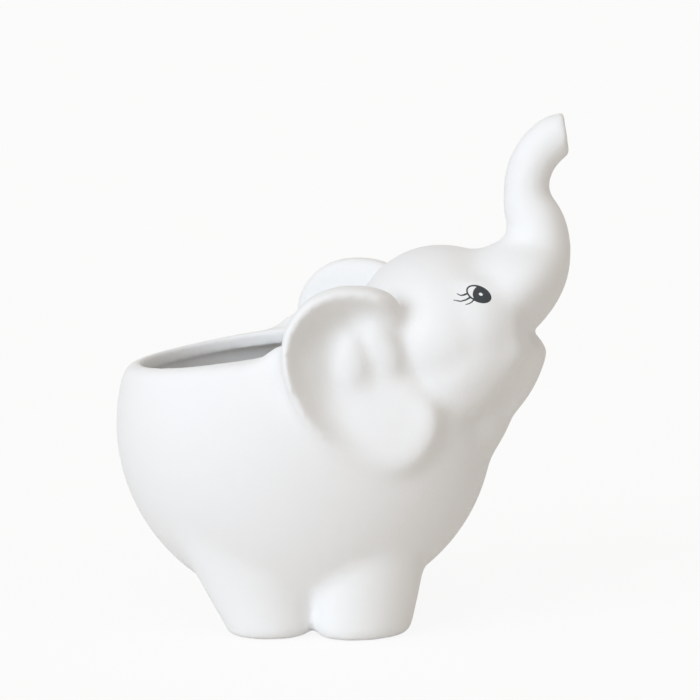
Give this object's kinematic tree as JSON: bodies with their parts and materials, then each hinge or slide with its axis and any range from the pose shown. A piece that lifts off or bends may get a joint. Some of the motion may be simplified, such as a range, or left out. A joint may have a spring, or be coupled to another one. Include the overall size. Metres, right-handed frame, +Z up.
{
  "type": "animal shaped planter",
  "caption": "Matte ceramic plant pot shaped like a young elephant with a raised trunk, dished ears, short feet, printed eyes and a drain hole with a soft stopper.",
  "frame": {"origin": "on the ground, under the middle of the whole object's box", "axes": "+X the way the elephant faces, +Y its left, +Z up"},
  "size_m": [0.1551, 0.1086, 0.1747],
  "materials": {
    "bisque": "matte, fine sandy grain, unglazed white",
    "eye_print": "dark grey fired print",
    "stopper": "soft satin silicone rubber"
  },
  "bodies": {
    "planter": {"pot_body": "bisque", "head": "bisque", "trunk": "bisque", "lower_jaw": "bisque", "right_ear": "bisque", "left_ear": "bisque", "front_right_foot": "bisque", "front_left_foot": "bisque", "rear_right_foot": "bisque", "rear_left_foot": "bisque", "right_eye": "eye_print", "left_eye": "eye_print"},
    "stopper": {"drain_plug": "stopper"}
  },
  "joints": [
    {"name": "stopper_pull", "type": "slide", "parent": "planter", "child": "stopper", "axis": [0, 0, -1], "range_m": [0, 0.012]}
  ]
}
